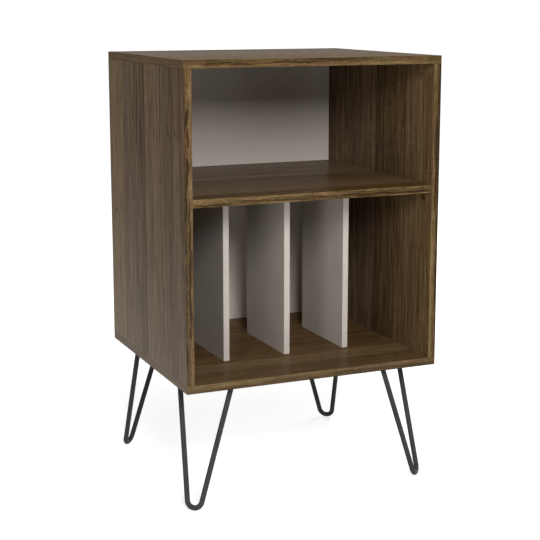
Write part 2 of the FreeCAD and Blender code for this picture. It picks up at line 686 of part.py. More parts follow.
def rod_path(body):
    """Half of the hairpin, from over the plate's underside down to the lowest point."""
    sketch = new_sketch(body, f"{body.Name}_path", "XZ_Plane")
    lean = f"-atan(Sizes.leg_lean / {LEG_DROP})"
    sketch.AttachmentOffset = Placement(Vector(), Rotation(X_AXIS, -1))
    sketch.setExpression("AttachmentOffset.Rotation.Angle", lean)
    half_spread = value("Sizes.rod_spread / 2")
    bend, slant = value("Sizes.rod_bend"), value(LEG_SLANT)
    centre = Vector(0, bend - slant, 0)
    to_centre = math.hypot(half_spread, slant - bend)
    slope = math.atan2(half_spread, slant - bend) - math.asin(bend / to_centre)
    tangent = centre + Vector(bend * math.cos(slope), -bend * math.sin(slope), 0)
    over = value("Sizes.rod")
    head = Vector(half_spread + over * math.tan(slope), over, 0)
    straight = sketch.addGeometry(Part.LineSegment(head, tangent), False)
    ring = Part.Circle(centre, Z_AXIS, bend)
    bow = sketch.addGeometry(Part.ArcOfCircle(ring, -math.pi / 2, -slope), False)
    seat = sketch.addGeometry(Part.Point(Vector(half_spread, 0, 0)), True)
    sketch.addConstraint(Sketcher.Constraint("Tangent", straight, 2, bow, 2))
    sketch.addConstraint(Sketcher.Constraint("PointOnObject", bow, 3, -2))
    sketch.addConstraint(Sketcher.Constraint("PointOnObject", seat, 1, straight))
    bind(sketch, Sketcher.Constraint("Radius", bow, bend), "Sizes.rod_bend")
    hold(sketch, bow, 1, "0", f"-{LEG_SLANT}")
    hold(sketch, seat, 1, "Sizes.rod_spread / 2", "0")
    bind(sketch, Sketcher.Constraint("DistanceY", -1, 1, straight, 1, over), "Sizes.rod")
    return sketch


def hairpin_leg(corner):
    """One bent rod: half of it is swept and mirrored, then welded and cut level at the plate."""
    name = f"{corner}_leg"
    body = new_body(name)
    path = rod_path(body)
    section = new_sketch(body, f"{name}_section", "YZ_Plane")
    circle(section, "-Sizes.leg_lean", f"-{LEG_DROP}", "Sizes.rod")
    doc.recompute()
    sweep = body.newObject("PartDesign::AdditivePipe", f"{name}_half")
    sweep.Profile = section
    sweep.Spine = (path, ["Edge2", "Edge1"])
    doc.recompute()
    mirror = body.newObject("PartDesign::Mirrored", f"{name}_whole")
    mirror.Originals = [sweep]
    mirror.MirrorPlane = (origin_plane(body, "YZ_Plane"), [""])
    body.Tip = mirror
    doc.recompute()
    rings = new_sketch(body, f"{name}_weld_rings", "XY_Plane")
    for sign in ("-", ""):
        circle(rings, f"({sign}Sizes.rod_spread / 2)", "0", "(Sizes.rod + 2 * Sizes.weld)")
    welds = pad(body, f"{name}_welds", rings, "Sizes.weld", along_normal=False)
    welds.TaperAngle = -45
    doc.recompute()
    level = new_sketch(body, f"{name}_level_cut", "XY_Plane")
    reach = "(Sizes.rod_spread / 2 + 2 * Sizes.rod)"
    rectangle(level, f"-{reach}", "(-2 * Sizes.rod)", reach, "(2 * Sizes.rod)")
    pocket(body, f"{name}_levelled", level, "(2 * Sizes.rod)", True)
    x, y = leg_middle(corner)
    turn = Rotation(Z_AXIS, CORNERS[corner][2])
    keep(place(body, x, y, PLATE_UNDERSIDE, turn), name)


def leg_plate(corner):
    name = f"{corner}_leg_plate"
    body = new_body(name)
    sketch = new_sketch(body, f"{name}_outline", "XY_Plane")
    half_length = "(Sizes.rod_spread / 2 + Sizes.plate_end)"
    half_width = "(Sizes.plate_width / 2)"
    rectangle(sketch, f"-{half_length}", f"-{half_width}", half_length, half_width)
    blank = pad(body, f"{name}_blank", sketch, "Sizes.plate")
    upright = [
        f"Edge{number}"
        for number, edge in enumerate(blank.Shape.Edges, 1)
        if abs(edge.tangentAt(edge.FirstParameter).z) > 0.99
    ]
    rounded = body.newObject("PartDesign::Fillet", f"{name}_rounded")
    rounded.Base = (blank, upright)
    rounded.setExpression("Radius", "min(Sizes.plate_corner; 0.45 * Sizes.plate_width)")
    doc.recompute()
    along, across = "(Sizes.plate_hole_along / 2)", "(Sizes.plate_hole_across / 2)"
    holes = [(f"{i}{along}", f"{j}{across}") for i in ("-", "") for j in ("-", "")]
    drill(body, f"{name}_holes", "XY_Plane", "0", holes, "Sizes.plate_hole", "Sizes.plate", True)
    x, y = leg_middle(corner)
    turn = Rotation(Z_AXIS, CORNERS[corner][2])
    keep(place(body, x, y, PLATE_UNDERSIDE, turn), name)


# The whole stand.


def check_all():
    """Stops if any object failed to recompute, or if a sub-part's solid isn't sound."""
    for item in doc.Objects:
        if "Invalid" in item.State or "Error" in item.State:
            raise RuntimeError(f"{item.Name} failed: {item.State}")
    for part in parts:
        if part.Shape.isNull() or not part.Shape.isValid() or not part.Shape.Solids:
            raise RuntimeError(f"{part.Label} has no sound solid")


def main():
    top_board()
    bottom_board()
    side_panels()
    middle_shelf()
    back_panel()
    for name, x in DIVIDERS.items():
        divider_board(name, x)
        divider_edge_bands(name, x)
    case_edge_bands()
    case_fittings()
    divider_fittings()
    back_nails()
    screw = leg_screw()
    for corner in CORNERS:
        hairpin_leg(corner)
        leg_plate(corner)
        places = [(x, y, PLATE_UNDERSIDE, UPRIGHT) for x, y in leg_screw_points(corner)]
        group(f"{corner}_leg_screws", screw, places)
    doc.recompute()
    check_all()
    os.makedirs("parts", exist_ok=True)
    for part in parts:
        part.Shape.exportStep(f"parts/{part.Label}.step")
    print(len(parts), "sub-parts,", sum(len(part.Shape.Solids) for part in parts), "solids")


main()
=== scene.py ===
"""Finishes the record storage stand: an open case of wood-print board on four hairpin legs."""

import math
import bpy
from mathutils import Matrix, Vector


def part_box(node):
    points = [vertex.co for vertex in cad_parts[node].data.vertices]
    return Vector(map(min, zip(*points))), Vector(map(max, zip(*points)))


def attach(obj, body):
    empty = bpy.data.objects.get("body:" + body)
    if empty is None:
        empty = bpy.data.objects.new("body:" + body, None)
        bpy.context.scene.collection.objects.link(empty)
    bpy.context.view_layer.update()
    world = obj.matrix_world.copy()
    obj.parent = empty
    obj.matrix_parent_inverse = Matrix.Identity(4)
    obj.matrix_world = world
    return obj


bl_info = {
    "name": "Record Storage Stand",
    "version": (1, 0, 0),
    "blender": (4, 5, 0),
    "location": "3D View > Sidebar > Record Stand",
    "description": "Finishes a flat-pack record storage stand on hairpin legs",
    "category": "Object",
}

from typing import NamedTuple

import bmesh
import bpy
from bpy.props import FloatProperty, FloatVectorProperty, IntProperty, PointerProperty
from mathutils import Matrix, Vector

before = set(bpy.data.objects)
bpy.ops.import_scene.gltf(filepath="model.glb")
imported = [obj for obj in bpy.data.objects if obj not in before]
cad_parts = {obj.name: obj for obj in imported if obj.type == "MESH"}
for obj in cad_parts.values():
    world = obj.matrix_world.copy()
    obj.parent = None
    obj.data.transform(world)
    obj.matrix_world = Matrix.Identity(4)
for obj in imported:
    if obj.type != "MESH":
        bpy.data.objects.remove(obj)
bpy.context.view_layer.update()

# Where the case lies, in metres. X runs across the front, Y from front to back, Z up.
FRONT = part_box("bottom_front_edge_band")[0].y
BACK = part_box("back_panel")[1].y
BACK_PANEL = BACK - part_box("back_panel")[0].y
CASE_DEPTH = BACK - FRONT
CASE_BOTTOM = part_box("bottom_board")[0].z
CASE_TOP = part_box("top_board")[1].z
AXES = "xyz"


def swatch(red, green, blue):
    """The scene colour of a paint swatch whose screen colour is given as 0 to 255."""
    return tuple(
        c / 12.92 if c <= 0.04045 else ((c + 0.055) / 1.055) ** 2.4
        for c in (red / 255, green / 255, blue / 255)
    )


def colour_of(name, description, default):
    """A colour that the user may change."""
    return FloatVectorProperty(
        name=name, description=description, subtype="COLOR", min=0, max=1, default=default
    )


def length_of(name, description, default):
    """A length in metres that the user may change."""
    return FloatProperty(name=name, description=description, unit="LENGTH", min=0, default=default)


def share_of(name, description, default):
    """A share from 0 to 1 that the user may change."""
    return FloatProperty(
        name=name, description=description, subtype="FACTOR", min=0, max=1, default=default
    )


def angle_of(name, description, degrees):
    """An angle that the user may change."""
    return FloatProperty(
        name=name, description=description, unit="ROTATION", default=math.radians(degrees)
    )


def power_of(name, description, default):
    """A lamp's power in watts that the user may change."""
    return FloatProperty(name=name, description=description, unit="POWER", min=0, default=default)


# ---------------------------------------------------------------------------------------
# Settings
# ---------------------------------------------------------------------------------------


class PrintSettings(bpy.types.PropertyGroup):
    dark: colour_of("Dark grain", "Pores and dark growth lines of the print", swatch(35, 24, 12))
    brown: colour_of("Brown", "Darker half of the print", swatch(77, 57, 32))
    middle: colour_of("Middle brown", "Main tone of the print", swatch(106, 83, 54))
    light: colour_of("Light grain", "Lightest streaks of the print", swatch(143, 118, 84))
    # Colour of the painted sheen: a pale veil that stands in for the foil's gloss, growing towards the
    # foot.
    painted_sheen: colour_of("Haze", "Tone of the hazy foil near the foot", swatch(187, 177, 167))
    roughness: share_of("Roughness", "Roughness of the printed foil", 0.3)
    gloss: share_of("Gloss", "Specular level of the printed foil", 0.016)
    relief: length_of("Pore depth", "Depth of the embossed pores", 0.00012)


class EdgingSettings(bpy.types.PropertyGroup):
    dark: colour_of("Dark streaks", "Knots and dark lines in the edging", swatch(47, 32, 14))
    brown: colour_of("Brown", "Darker part of the edging", swatch(73, 56, 31))
    golden: colour_of("Golden", "Main tone of the edging", swatch(92, 73, 45))
    pale: colour_of("Pale streaks", "Lightest lines of the edging", swatch(123, 101, 70))
    # Colour of the painted sheen on the edging near the foot, standing in for its gloss.
    painted_sheen: colour_of("Haze", "Tone of the hazy edging near the foot", swatch(187, 177, 167))
    roughness: share_of("Roughness", "Roughness of the edging", 0.45)
    gloss: share_of("Gloss", "Specular level of the edging", 0.06)


class PaleSettings(bpy.types.PropertyGroup):
    board: colour_of("Divider", "Melamine on the dividers", swatch(185, 177, 168))
    edging: colour_of("Divider edging", "Edging of the dividers", swatch(191, 182, 173))
    sheet: colour_of("Back sheet", "Painted front face of the back panel", swatch(193, 184, 175))
    fibre: colour_of("Hardboard", "Bare rear face of the back panel", swatch(128, 98, 66))
    chip: colour_of("Chipboard", "Bare core of the boards", swatch(176, 146, 106))
    roughness: share_of("Roughness", "Roughness of the melamine", 0.5)
    edging_roughness: share_of("Edging roughness", "Roughness of the dividers' edging", 0.45)


class MetalSettings(bpy.types.PropertyGroup):
    coat: colour_of("Powder coat", "Coat of the legs and their plates", swatch(60, 61, 62))
    coat_roughness: share_of("Coat roughness", "Roughness of the powder coat", 0.42)
    coat_relief: length_of("Orange peel", "Depth of the coat's texture", 0.00005)
    zinc: colour_of("Zinc", "Screws, cam fittings and nails", swatch(188, 190, 194))
    zinc_roughness: share_of("Zinc roughness", "Roughness of the zinc plating", 0.34)


class WeldSettings(bpy.types.PropertyGroup):
    rod: length_of("Rod", "Diameter of the leg rod", 0.010)
    spread: length_of("Spread", "Between the two ends of a leg's rod", 0.106)
    throat: length_of("Throat", "Middle of the bead from the rod and from the plate", 0.001)
    bead: length_of("Bead", "Thickness of the weld bead", 0.0038)
    ripples: IntProperty(name="Ripples", description="Ripples round a bead", min=6, default=14)
    ripple_height: share_of("Ripple height", "How far a ripple stands out of the bead", 0.16)


class StageSettings(bpy.types.PropertyGroup):
    camera_place: FloatVectorProperty(
        name="Camera", description="Place of the camera", subtype="TRANSLATION", unit="LENGTH",
        default=(-1.0175, -2.3461, 0.9247),
    )
    camera_turn: angle_of("Turn", "Camera's turn to the right of straight ahead", 23.53)
    camera_tilt: angle_of("Tilt", "Camera's tilt above level", -10.54)
    camera_lens: FloatProperty(
        name="Lens", description="Focal length on a 36 mm frame, in mm", unit="CAMERA", min=1,
        default=86.67,
    )
    camera_rise: FloatProperty(
        name="Rise", description="Vertical shift of the lens, as a share of the frame",
        default=-0.045,
    )
    floor_size: length_of("Floor", "Width of the floor", 60.0)
    ambient: share_of("Ambient", "Strength of the light from all around", 0.07)
    key_power: power_of("Key", "Power of the main lamp, in front", 75.0)
    top_power: power_of("Top", "Power of the lamp overhead", 14.0)
    side_power: power_of("Side", "Power of the lamp on the left", 15.5)
    fill_power: power_of("Fill", "Power of the lamp on the right", 7.0)
    back_power: power_of("Back", "Power of the lamp behind", 45.0)


SETTINGS = {
    "stand_print": PrintSettings,
    "stand_edging": EdgingSettings,
    "stand_pale": PaleSettings,
    "stand_metal": MetalSettings,
    "stand_weld": WeldSettings,
    "stand_stage": StageSettings,
}


# ---------------------------------------------------------------------------------------
# How each board and each edge band is printed
# ---------------------------------------------------------------------------------------


class Strip(NamedTuple):
    """One veneer strip of a print: where it starts, how light and warm it is, and its joint."""

    start: float
    tone: float
    warmth: float
    joint: float = 0.06


class Knot(NamedTuple):
    """A pin knot: its place along the grain and from the front, half its length and width."""

    along: float
    from_front: float
    length: float
    width: float


class Print(NamedTuple):
    """The print on one board.

    It has the axis the grain runs along, the seed of its grain, its veneer strips and its knots,
    how strong the figure is, a share of the foil's gloss, and how much painted sheen, standing in for
    that gloss, lies on it at its foot.
    """

    grain: str
    seed: float
    strips: tuple
    knots: tuple = ()
    contrast: float = 1.0
    gloss: float = 1.0
    painted_sheen: float = 0.0


CENTRE_LINE = 0.2265  # from the front of the case to the print's middle joint

PRINTS = {
    "left_side_panel": Print(
        "z", 3.1,
        (Strip(0, 0.471, 1.05), Strip(0.028, 0.493, 1.05, 0.05), Strip(0.062, 0.452, 1.05, 0.10),
         Strip(0.100, 0.496, 1.06, 0.02), Strip(0.150, 0.583, 1.1, 0), Strip(0.222, 0.437, 1.15, 0.40),
         Strip(0.231, 0.48, 1.04, 0.02), Strip(0.243, 0.495, 1.03, 0.30),
         Strip(0.285, 0.556, 1.0, 0.14), Strip(0.328, 0.542, 1.03, 0.20),
         Strip(0.354, 0.64, 1.21, 0.14)),
        (Knot(0.396, 0.122, 0.012, 0.0030), Knot(0.511, 0.415, 0.008, 0.0060),
         Knot(0.700, 0.049, 0.010, 0.0040)),
        contrast=1.25, gloss=0.3, painted_sheen=0.27,
    ),
    "right_side_panel": Print(
        "z", 11.7,
        (Strip(0, 0.588, 0.98), Strip(0.030, 0.595, 0.97, 0.04), Strip(0.062, 0.55, 0.93),
         Strip(0.107, 0.50, 0.92, 0.10), Strip(0.146, 0.40, 0.92, 0.06),
         Strip(0.196, 0.395, 0.87, 0.06), Strip(CENTRE_LINE, 0.52, 0.83, 0.24)),
        (Knot(0.559, 0.031, 0.010, 0.004),),
        contrast=1.15,
    ),
    "middle_shelf": Print(
        "x", 23.4,
        (Strip(0, 0.43, 1.07), Strip(0.048, 0.608, 0.93), Strip(0.118, 0.56, 0.92, 0.10),
         Strip(0.176, 0.475, 0.89, 0.10), Strip(CENTRE_LINE, 0.58, 0.85, 0.16),
         Strip(0.311, 0.56, 0.81)),
        (Knot(0.0155, 0.084, 0.009, 0.0045),),
    ),
    "bottom_board": Print(
        "x", 31.9,
        (Strip(0, 0.49, 0.98), Strip(0.064, 0.65, 0.96), Strip(0.121, 0.523, 1.02, 0.10),
         Strip(0.179, 0.48, 1.02, 0.10), Strip(0.211, 0.53, 1.02),
         Strip(CENTRE_LINE, 0.47, 1.02, 0.20), Strip(0.313, 0.50, 1.02)),
        (Knot(0.053, 0.081, 0.010, 0.004), Knot(0.197, 0.046, 0.008, 0.003)),
    ),
    "top_board": Print(
        "x", 44.2,
        (Strip(0, 0.595, 1.09), Strip(0.083, 0.59, 1.0), Strip(0.160, 0.627, 0.96),
         Strip(CENTRE_LINE, 0.622, 0.89, 0.12), Strip(0.352, 0.53, 0.83)),
        gloss=0.04,
    ),
}


class Streak(NamedTuple):
    """A dark streak in an edge band.

    It runs from start to end, in shares of the band's length. Across the band it lies at
    from_edge where it starts and at to_edge where it ends, and it fades out at its width to
    either side, in shares of the band's width. Its depth is how far it darkens the tone.
    """

    start: float
    end: float
    from_edge: float
    to_edge: float
    width: float
    depth: float


class Band(NamedTuple):
    """One edge band.

    It has the seed of its grain, how strong its figure is, its tones across it and along it, its
    streaks, and how much painted sheen lies on it at the foot of the case.
    """

    seed: float
    contrast: float
    across: tuple
    along: tuple
    streaks: tuple
    painted_sheen: float = 0.0


# Shares across go from the band's left or lower edge, and along from its lower or left end.
BANDS = {
    "left_side_front_edge_band": Band(
        2.3, 1.35,
        ((0, 0.38), (0.30, 0.49), (0.60, 0.54), (0.74, 0.60), (0.88, 0.66), (1, 0.57)),
        ((0, 0.47), (0.20, 0.44), (0.38, 0.40), (0.55, 0.45), (0.80, 0.51), (1, 0.52)),
        (Streak(0.83, 0.87, 0.36, 0.40, 0.16, 0.70), Streak(0.81, 0.87, 0.16, 0.24, 0.12, 0.50),
         Streak(0.765, 0.81, 0.48, 0.42, 0.16, 0.75), Streak(0.68, 0.72, 0.36, 0.36, 0.21, 0.75),
         Streak(0.60, 0.67, 0.20, 0.26, 0.15, 0.70), Streak(0.54, 0.595, 0.16, 0.20, 0.15, 0.75),
         Streak(0.42, 0.58, 0.62, 0.60, 0.11, 0.90), Streak(0.43, 0.46, 0.08, 0.08, 0.13, 0.70),
         Streak(0.34, 0.41, 0.56, 0.58, 0.20, 0.65), Streak(0.21, 0.345, 0.62, 0.60, 0.13, 0.65),
         Streak(0.215, 0.26, 0.66, 0.62, 0.22, 0.30), Streak(0.155, 0.185, 0.54, 0.54, 0.15, 0.45),
         Streak(0.06, 0.13, 0.12, 0.10, 0.15, 0.50)),
        painted_sheen=0.045,
    ),
    "right_side_front_edge_band": Band(
        8.8, 1.2,
        # Across, the tone falls almost to black over the outer edge: painted shade of the band's
        # rounded edge.
        ((0, 0.60), (0.12, 0.66), (0.35, 0.62), (0.60, 0.44), (0.80, 0.36), (0.88, 0.12), (1, 0.06)),
        ((0, 0.52), (0.30, 0.54), (0.50, 0.46), (0.80, 0.38), (1, 0.38)),
        (Streak(0.52, 0.81, 0.46, 0.52, 0.15, 0.42), Streak(0.18, 0.50, 0.78, 0.82, 0.14, 0.30),
         Streak(0.62, 0.96, 0.80, 0.76, 0.20, 0.18), Streak(0.04, 0.16, 0.40, 0.30, 0.10, 0.20)),
    ),
    "top_front_edge_band": Band(
        14.6, 1.05,
        ((0, 0.61), (0.22, 0.62), (0.45, 0.52), (0.75, 0.42), (1, 0.40)),
        ((0, 0.56), (0.05, 0.53), (0.10, 0.47), (0.30, 0.47), (0.38, 0.50), (0.52, 0.47),
         (0.62, 0.50), (0.90, 0.50), (0.935, 0.53), (0.945, 0.40), (1, 0.38)),
        (Streak(0.06, 0.22, 0.44, 0.54, 0.26, 0.34), Streak(0.22, 0.36, 0.44, 0.52, 0.10, 0.22),
         Streak(0.34, 0.50, 0.56, 0.50, 0.15, 0.48), Streak(0.46, 0.64, 0.84, 0.74, 0.12, 0.38)),
    ),
    "bottom_front_edge_band": Band(
        19.5, 0.9,
        # Across, the tone is nearly black along the lower edge: painted shade of the band's rounded
        # edge.
        ((0, 0.02), (0.06, 0.10), (0.12, 0.38), (0.35, 0.46), (0.60, 0.58), (0.90, 0.66), (1, 0.58)),
        ((0, 0.54), (0.25, 0.56), (0.45, 0.48), (0.65, 0.42), (1, 0.46)),
        (Streak(0.30, 0.45, 0.48, 0.56, 0.20, 0.24), Streak(0.57, 0.71, 0.42, 0.56, 0.20, 0.34),
         Streak(0.72, 0.98, 0.46, 0.36, 0.18, 0.24), Streak(0.08, 0.24, 0.30, 0.40, 0.10, 0.18)),
        painted_sheen=0.025,
    ),
    "shelf_front_edge_band": Band(
        27.2, 1.3,
        ((0, 0.58), (0.18, 0.50), (0.30, 0.40), (0.45, 0.48), (0.70, 0.60), (0.92, 0.62), (1, 0.52)),
        ((0, 0.52), (0.22, 0.51), (0.35, 0.52), (0.55, 0.49), (0.72, 0.46), (1, 0.48)),
        (Streak(0.03, 0.14, 0.24, 0.20, 0.12, 0.46), Streak(0.19, 0.49, 0.52, 0.16, 0.09, 0.36),
         Streak(0.48, 0.57, 0.50, 0.46, 0.10, 0.44), Streak(0.61, 1.0, 0.42, 0.36, 0.18, 0.34),
         Streak(0.60, 0.98, 0.74, 0.70, 0.08, 0.30)),
    ),
}


class EndBand(NamedTuple):
    """The edging on a board's end: its seed, its share of painted sheen, and how dark the painted
    shade is along its top and bottom edges.
    """

    seed: float
    painted_sheen: float
    seam: float


END_BANDS = {
    "top_left_edge_band": EndBand(50.0, 0.0, 0.12),
    "top_right_edge_band": EndBand(53.0, 0.0, 0.12),
    "bottom_left_edge_band": EndBand(56.0, 0.27, 0.42),
    "bottom_right_edge_band": EndBand(59.0, 0.0, 0.42),
}


# ---------------------------------------------------------------------------------------
# The grain of the prints
# ---------------------------------------------------------------------------------------

PLY = 0.004  # in metres: the print changes entirely from one face of a board to the other


class Grain(NamedTuple):
    """One scale of grain: the width and length of its marks, their detail and their weight."""

    width: float
    length: float
    detail: float
    weight: float


# The grain of the boards, of the front edging, and of the edging on the boards' ends.
FIGURE = (
    Grain(0.055, 0.60, 2.0, 0.30),
    Grain(0.0085, 0.24, 3.0, 0.60),
    Grain(0.0026, 0.060, 4.0, 0.85),
)
EDGING_FIGURE = (
    Grain(0.0055, 0.055, 3.0, 0.55),
    Grain(0.0018, 0.030, 4.0, 1.15),
    Grain(0.0010, 0.008, 2.0, 0.35),
)
END_FIGURE = (
    Grain(0.006, 0.16, 3.0, 0.55),
    Grain(0.0018, 0.05, 3.0, 0.60),
)

# The sizes of the other marks in metres: across the grain, along it and through the board.
WANDER = (0.08, 0.35, 0.02)
GROWTH_LINES = (0.060, 1.10, 0.012)
STREAKS = (0.0042, 0.11, PLY)
PATCHES = (0.040, 0.16, 0.02)
PORES = (0.0011, 0.026, PLY)
CHATTER = (0.020, 0.0035, PLY)
HUE_DRIFT = (0.025, 0.12, PLY)
EDGING_WANDER = (0.030, 0.022, 0.010)
EDGING_FLECKS = (0.0050, 0.0026, PLY)
EDGING_HUE_DRIFT = (0.009, 0.06, 0.02)
END_SPECKS = (0.004, 0.006, PLY)

# How far each kind of mark moves the tone, which runs from 0 for dark to 1 for light.
GROWTH_LINE_TONE = -0.05
STREAK_TONE = -0.26
PORE_TONE = -0.22
CHATTER_TONE = 0.22
KNOT_TONE = -0.42
FLECK_TONE = 0.44
END_SPECK_TONE = -0.18

# The tones at which each colour of a print is pure, from its dark marks to its lightest.
PRINT_TONES = (0.05, 0.32, 0.56, 0.90)
EDGING_TONES = (0.08, 0.34, 0.56, 0.86)
END_TONE = 0.52  # the edging on a board's end, before its grain

WAVER = 0.006  # how far the grain wavers to the side, in metres
GROWTH_LINE_ANGLE = 120.0  # in radians, from the lowest value of their field to the highest
JOINT = 0.0014  # a third of the width of the dark joint between two strips, in metres
PAINTED_REAR_EDGE_SHADE = 0.0018  # width of the painted shade down a board's rear edge, where its rounded arris falls into shade, in metres
PAINTED_REAR_EDGE_SHADE_TONE = 0.16
PAINTED_REAR_EDGE_SHADE_FADE = 0.001  # the share of the case's depth over which the painted shade darkens
KNOT_SLANT = -0.35  # how far a knot leans across the grain for each metre along it
CHIPS = 520.0  # in a metre of bare chipboard
TARNISH = (0.80, 0.74, 0.62)  # how much red, green and blue tarnish leaves in bright zinc


# ---------------------------------------------------------------------------------------
# Materials
# ---------------------------------------------------------------------------------------


class Finish:
    """A material, and the nodes that give it its colour, gloss and relief."""

    # The grid that the nodes are laid out on.
    COLUMN = 210
    ROW = 170
    ROWS = 6

    def __init__(self, name):
        self.material = bpy.data.materials.new(name)
        self.material.use_nodes = True
        self.nodes = self.material.node_tree.nodes
        self.links = self.material.node_tree.links
        self.shader = self.nodes["Principled BSDF"]
        coordinates = self.add("ShaderNodeTexCoord")
        self.place = coordinates.outputs["Object"]
        self.at = self.split(self.place)
        self.faces = self.split(coordinates.outputs["Normal"])

    def add(self, kind, inputs=None, **options):
        """Adds a node, sets its options, and gives each input a value or another node's output."""
        node = self.nodes.new(kind)
        count = len(self.nodes)
        node.location = (-self.COLUMN * (1 + count // self.ROWS), self.ROW * (count % self.ROWS))
        for name, value in options.items():
            setattr(node, name, value)
        for name, value in (inputs or {}).items():
            self.feed(node.inputs[name], value)
        return node

    def feed(self, socket, value):
        """Gives a socket a value or another node's output."""
        if isinstance(value, bpy.types.NodeSocket):
            self.links.new(value, socket)
        else:
            socket.default_value = value

    def maths(self, operation, *values):
        """The outcome of one operation on the given values."""
        inputs = dict(enumerate(values))
        return self.add("ShaderNodeMath", inputs, operation=operation).outputs[0]

    def split(self, vector):
        """A vector's three parts, by the names of their axes."""
        return dict(zip(AXES, self.add("ShaderNodeSeparateXYZ", {0: vector}).outputs))

    def join(self, *parts):
        """A vector of the given parts."""
        return self.add("ShaderNodeCombineXYZ", dict(enumerate(parts))).outputs[0]

    def length(self, vector):
        """How long a vector is."""
        return self.add("ShaderNodeVectorMath", {0: vector}, operation="LENGTH").outputs["Value"]

    def spread(self, value, low, high, to_low=0.0, to_high=1.0):
        """Stretches low..high to to_low..to_high, and holds it there outside."""
        inputs = dict(enumerate((value, low, high, to_low, to_high)))
        return self.add("ShaderNodeMapRange", inputs).outputs[0]

    def ramp(self, value, stops, interpolation="LINEAR"):
        """Colours or greys at the given places of 0 to 1."""
        node = self.add("ShaderNodeValToRGB", {0: value})
        band = node.color_ramp
        band.interpolation = interpolation
        band.elements.remove(band.elements[1])
        for index, (position, tone) in enumerate(stops):
            stop = band.elements[0] if index == 0 else band.elements.new(position)
            stop.position = position
            stop.color = (*(tone if hasattr(tone, "__len__") else (tone,) * 3), 1)
        return node.outputs[0]

    def mix(self, share, first, second):
        """The first colour where the share is 0, and the second where it is 1."""
        node = self.add("ShaderNodeMix", data_type="RGBA")
        for name, value in (("Factor_Float", share), ("A_Color", first), ("B_Color", second)):
            socket = next(s for s in node.inputs if s.identifier == name)
            if hasattr(value, "__len__") and not isinstance(value, bpy.types.NodeSocket):
                value = (*value, 1)
            self.feed(socket, value)
        return next(s for s in node.outputs if s.identifier == "Result_Color")

    def tint(self, colour, hue, saturation=1.0):
        """Scales a colour's saturation and turns its hue, which 0.5 leaves as it is."""
        inputs = {"Color": colour, "Saturation": saturation, "Hue": hue}
        return self.add("ShaderNodeHueSaturation", inputs).outputs[0]

    def noise(self, place, sizes, detail=1.0, roughness=0.5, seed=0.0):
        """Noise whose marks have the given sizes in metres, one for each part of the place."""
        cells = tuple(1 / size for size in sizes)
        vector = self.add("ShaderNodeVectorMath", {0: place, 1: cells}, operation="MULTIPLY")
        inputs = {"Vector": vector.outputs[0], "W": seed, "Scale": 1.0, "Detail": detail,
                  "Roughness": roughness}
        return self.add("ShaderNodeTexNoise", inputs, noise_dimensions="4D").outputs[0]

    def relief(self, height, distance, strength):
        """Embosses the surface: a height of 1 stands out by the distance, in metres."""
        inputs = {"Height": height, "Distance": distance, "Strength": strength}
        self.feed(self.shader.inputs["Normal"], self.add("ShaderNodeBump", inputs).outputs[0])

    def surface(self, **inputs):
        """Sets the shader's sockets, whose names are given with _ for a space."""
        for name, value in inputs.items():
            self.feed(self.shader.inputs[name.replace("_", " ")], value)
        return self.material


def shade(colour, strength):
    """A darker or lighter shade of a colour, no brighter than white."""
    return tuple(min(1, c * strength) for c in colour)


def grey_stops(strips, values, with_joints=False):
    """Ramp stops that hold each strip's value, with a darker joint before it where asked."""
    joint = JOINT / CASE_DEPTH
    stops = [(0, values[0])]
    for strip, before, after in zip(strips[1:], values, values[1:]):
        start = strip.start / CASE_DEPTH
        stops.append((start - 2 * joint, before))
        if with_joints and strip.joint:
            stops.append((start, min(before, after) - strip.joint))
        stops.append((start + joint, after))
    return stops


def figure(finish, grain, seed, tone, scales):
    """Adds each scale of grain to a tone. Gives the tone, and each scale's own marks."""
    layers = []
    for scale in scales:
        sizes = (scale.width, scale.length, PLY)
        layer = finish.noise(grain, sizes, scale.detail, roughness=0.6, seed=seed)
        tone = finish.maths("MULTIPLY_ADD", layer, scale.weight, tone)
        tone = finish.maths("SUBTRACT", tone, scale.weight / 2)
        layers.append(layer)
    return tone, layers


def sharpen(finish, tone, contrast):
    """Moves dark and light tones apart about the middle one."""
    return finish.spread(tone, 0, 1, 0.5 - contrast / 2, 0.5 + contrast / 2)


def painted_sheen_toward_foot(finish, most):
    """A share of painted sheen that grows from none at the top of the case to the most at its foot."""
    low = finish.spread(finish.at["z"], CASE_TOP, CASE_BOTTOM)
    return finish.maths("MULTIPLY", finish.maths("POWER", low, 2.0), most)


def print_colour(finish, tone, settings):
    """The print's colour at each tone."""
    colours = (settings.dark, settings.brown, settings.middle, settings.light)
    return finish.ramp(tone, zip(PRINT_TONES, colours))


def chipboard(finish, settings):
    """The bare core of a board: pressed chips of several tones."""
    chips = finish.add("ShaderNodeTexVoronoi", {"Vector": finish.place, "Scale": CHIPS})
    tone = finish.split(chips.outputs["Color"])["x"]
    chip = settings.chip
    return finish.ramp(tone, ((0, shade(chip, 0.45)), (0.35, chip), (1, shade(chip, 1.25))))


def strip_seed(finish, look, share):
    """A seed for each strip, far from its neighbours', so that no grain crosses a joint."""
    numbers = [0.03 + 0.11 * (index * 5 % 8) for index in range(len(look.strips))]
    number = finish.ramp(share, grey_stops(look.strips, numbers))
    return finish.maths("MULTIPLY_ADD", number, 40.0, look.seed)


def wavering_grain(finish, look, from_front):
    """A place in the grain, across it, along it and through the board, with a gentle waver."""
    along = finish.at[look.grain]
    through = finish.at["x" if look.grain == "z" else "z"]
    straight = finish.join(from_front, along, through)
    wander = finish.noise(straight, WANDER, seed=look.seed)
    return finish.join(finish.maths("MULTIPLY_ADD", wander, WAVER, from_front), along, through)


